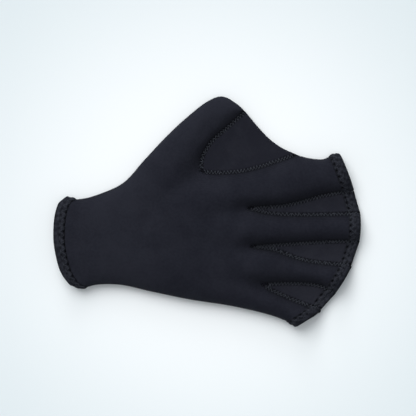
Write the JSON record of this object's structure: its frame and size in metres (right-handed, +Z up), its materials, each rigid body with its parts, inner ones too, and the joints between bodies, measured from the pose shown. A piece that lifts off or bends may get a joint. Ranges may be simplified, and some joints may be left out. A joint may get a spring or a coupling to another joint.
{
  "type": "webbed swim glove",
  "caption": "Short-fingered neoprene glove with cloth webs between thumb and fingers, worn on the right hand to push more water in swimming.",
  "frame": {"origin": "middle of the glove's length and width, on the surface that its palm rests on", "axes": "+X from the cuff to the fingertips, +Y from the little finger towards the thumb, +Z up out of the back of the hand"},
  "size_m": [0.214, 0.161, 0.0181],
  "materials": {
    "neoprene": "matt knit face of very dark navy-black neoprene",
    "web_cloth": "flat matt knit face of very dark navy-black stretch cloth",
    "hem_cloth": "folded neoprene edge, a little lighter and rougher, with cover stitching"
  },
  "bodies": {
    "root": {"back_panel": "neoprene", "palm_panel": "neoprene", "cuff_hem": "hem_cloth", "index_hem": "hem_cloth", "middle_hem": "hem_cloth", "ring_hem": "hem_cloth", "little_hem": "hem_cloth", "thumb_web": "web_cloth", "web_index_middle": "web_cloth", "web_middle_ring": "web_cloth", "web_ring_little": "web_cloth", "web_hem_index_middle": "hem_cloth", "web_hem_middle_ring": "hem_cloth", "web_hem_ring_little": "hem_cloth"}
  },
  "joints": []
}
